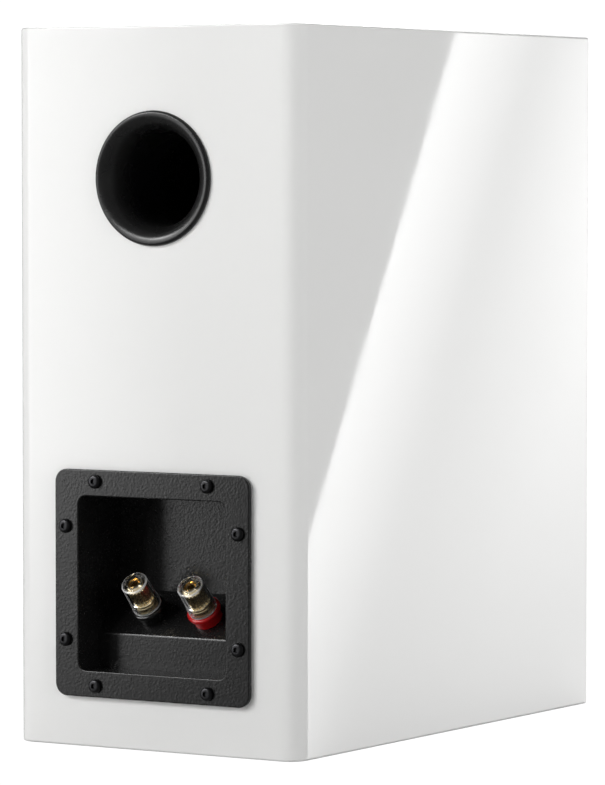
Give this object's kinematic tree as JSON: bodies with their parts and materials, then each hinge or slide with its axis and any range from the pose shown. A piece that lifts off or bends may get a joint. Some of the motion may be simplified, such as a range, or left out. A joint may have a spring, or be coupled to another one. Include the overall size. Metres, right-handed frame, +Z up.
{
  "type": "bookshelf speaker",
  "caption": "Free-standing two-way bookshelf speaker with a tapered lacquered cabinet, a rear port and a recessed cup with turning binding posts.",
  "frame": {"origin": "on the table, under the middle of the cabinet's outline", "axes": "+Z up along the cabinet's height, -Y towards the front baffle with the drivers, +Y towards the rear panel with the port and terminals"},
  "size_m": [0.2, 0.3138, 0.38],
  "materials": {
    "lacquer": "white gloss lacquer on fibreboard",
    "raw_board": "raw fibreboard",
    "textured_black": "moulded black plastic with a fine grain",
    "gloss_black": "polished black plastic",
    "gloss_red": "polished red plastic",
    "clear_plastic": "clear polycarbonate",
    "gold_plate": "gold plate on brass",
    "black_screw": "blackened steel",
    "zinc_steel": "zinc-plated steel",
    "ferrite": "ferrite magnet",
    "cone_black": "dull polymer cone",
    "surround_rubber": "soft rubber",
    "dome_silk": "coated silk",
    "spider_cloth": "resin-stiffened cloth",
    "damping_foam": "open-cell foam",
    "copper_wire": "enamelled copper wire",
    "circuit_board": "glass-fibre board with green resist",
    "component_case": "shrink sleeve",
    "resistor_case": "cast cement",
    "wire_sheath": "soft wire insulation"
  },
  "bodies": {
    "root": {"front_baffle": "lacquer", "left_side_panel": "lacquer", "right_side_panel": "lacquer", "top_panel": "lacquer", "bottom_panel": "lacquer", "rear_panel": "lacquer", "cabinet_brace": "raw_board", "left_damping_pad": "damping_foam", "right_damping_pad": "damping_foam", "port_flare": "gloss_black", "port_tube": "textured_black", "terminal_cup": "textured_black", "cup_gasket": "damping_foam", "cup_screw_1": "black_screw", "cup_screw_2": "black_screw", "cup_screw_3": "black_screw", "cup_screw_4": "black_screw", "cup_screw_5": "black_screw", "cup_screw_6": "black_screw", "cup_screw_7": "black_screw", "cup_screw_8": "black_screw", "black_post_base": "gloss_black", "black_post_stud": "gold_plate", "black_post_nut": "zinc_steel", "red_post_base": "gloss_red", "red_post_stud": "gold_plate", "red_post_nut": "zinc_steel", "woofer_basket": "textured_black", "woofer_top_plate": "zinc_steel", "woofer_magnet": "ferrite", "woofer_yoke": "zinc_steel", "woofer_surround": "surround_rubber", "woofer_spider": "spider_cloth", "tweeter_faceplate": "textured_black", "tweeter_surround": "dome_silk", "tweeter_top_plate": "zinc_steel", "tweeter_magnet": "ferrite", "tweeter_yoke": "zinc_steel", "tweeter_rear_chamber": "textured_black", "crossover_board": "circuit_board", "woofer_inductor": "copper_wire", "tweeter_inductor": "copper_wire", "large_capacitor": "component_case", "small_capacitor": "component_case", "resistor": "resistor_case", "input_lead": "wire_sheath", "woofer_lead": "wire_sheath", "tweeter_lead": "wire_sheath"},
    "woofer_diaphragm": {"woofer_cone": "cone_black", "woofer_dust_cap": "cone_black", "woofer_voice_coil": "copper_wire"},
    "tweeter_diaphragm": {"tweeter_dome": "dome_silk", "tweeter_voice_coil": "copper_wire"},
    "black_washer": {"black_clamp_washer": "gold_plate"},
    "black_knob": {"black_knob_insert": "gold_plate", "black_knob_sleeve": "clear_plastic"},
    "red_washer": {"red_clamp_washer": "gold_plate"},
    "red_knob": {"red_knob_insert": "gold_plate", "red_knob_sleeve": "clear_plastic"}
  },
  "joints": [
    {"name": "woofer_travel", "type": "slide", "parent": "root", "child": "woofer_diaphragm", "axis": [0, -1, 0], "range_m": [-0.005, 0.005], "stiffness_N_per_m": 1200, "deforming": ["woofer_surround", "woofer_spider"]},
    {"name": "tweeter_travel", "type": "slide", "parent": "root", "child": "tweeter_diaphragm", "axis": [0, -1, 0], "range_m": [-0.0005, 0.0005], "stiffness_N_per_m": 1500, "deforming": ["tweeter_surround"]},
    {"name": "black_knob_travel", "type": "slide", "parent": "root", "child": "black_washer", "axis": [0, 0.7071, 0.7071], "range_m": [0, 0.005]},
    {"name": "black_knob_turn", "type": "hinge", "parent": "black_washer", "child": "black_knob", "pos_m": [0.0174, 0.1253, 0.0689], "axis": [0, 0.7071, 0.7071], "range_deg": [0, 1805]},
    {"name": "red_knob_travel", "type": "slide", "parent": "root", "child": "red_washer", "axis": [0, 0.7071, 0.7071], "range_m": [0, 0.005]},
    {"name": "red_knob_turn", "type": "hinge", "parent": "red_washer", "child": "red_knob", "pos_m": [-0.0174, 0.1253, 0.0689], "axis": [0, 0.7071, 0.7071], "range_deg": [0, 1805]}
  ],
  "couplings": [
    {"joint": "black_knob_turn", "follows": "black_knob_travel", "rad_per_m": 6283.2},
    {"joint": "red_knob_turn", "follows": "red_knob_travel", "rad_per_m": 6283.2}
  ]
}
